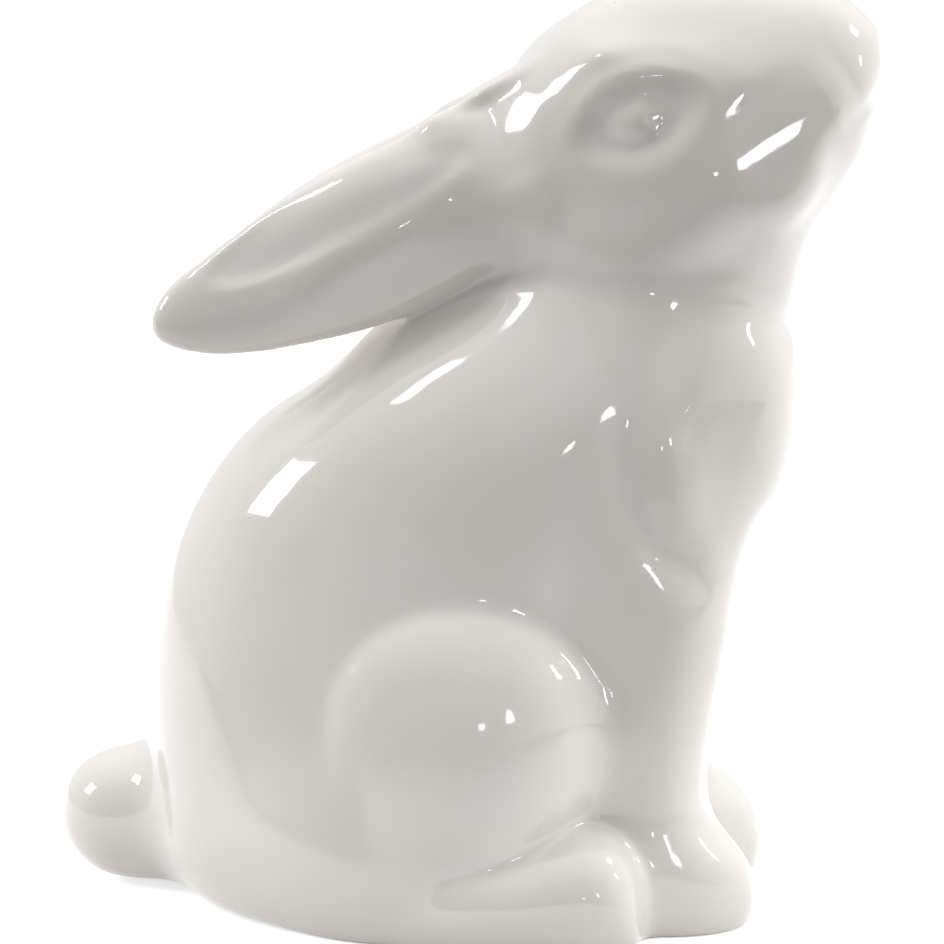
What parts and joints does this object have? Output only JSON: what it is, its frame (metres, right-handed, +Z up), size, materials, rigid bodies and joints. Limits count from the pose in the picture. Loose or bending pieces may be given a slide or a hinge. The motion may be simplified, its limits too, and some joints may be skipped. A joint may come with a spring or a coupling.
{
  "type": "rabbit figurine",
  "caption": "Seated rabbit ornament in glossy white glazed ceramic, head raised and ears laid back, hollow cast with a flat foot to stand on a shelf.",
  "frame": {"origin": "centre of the footprint's bounding box, on the surface the rabbit stands on", "axes": "+X the way the rabbit faces, +Y its left side, +Z up"},
  "size_m": [0.1093, 0.064, 0.1228],
  "materials": {
    "white_glaze": "glossy clear glaze over a white body"
  },
  "bodies": {
    "root": {"torso": "white_glaze", "head": "white_glaze", "right_ear": "white_glaze", "left_ear": "white_glaze", "right_foreleg": "white_glaze", "left_foreleg": "white_glaze", "right_hind_foot": "white_glaze", "left_hind_foot": "white_glaze", "tail": "white_glaze"}
  },
  "joints": []
}
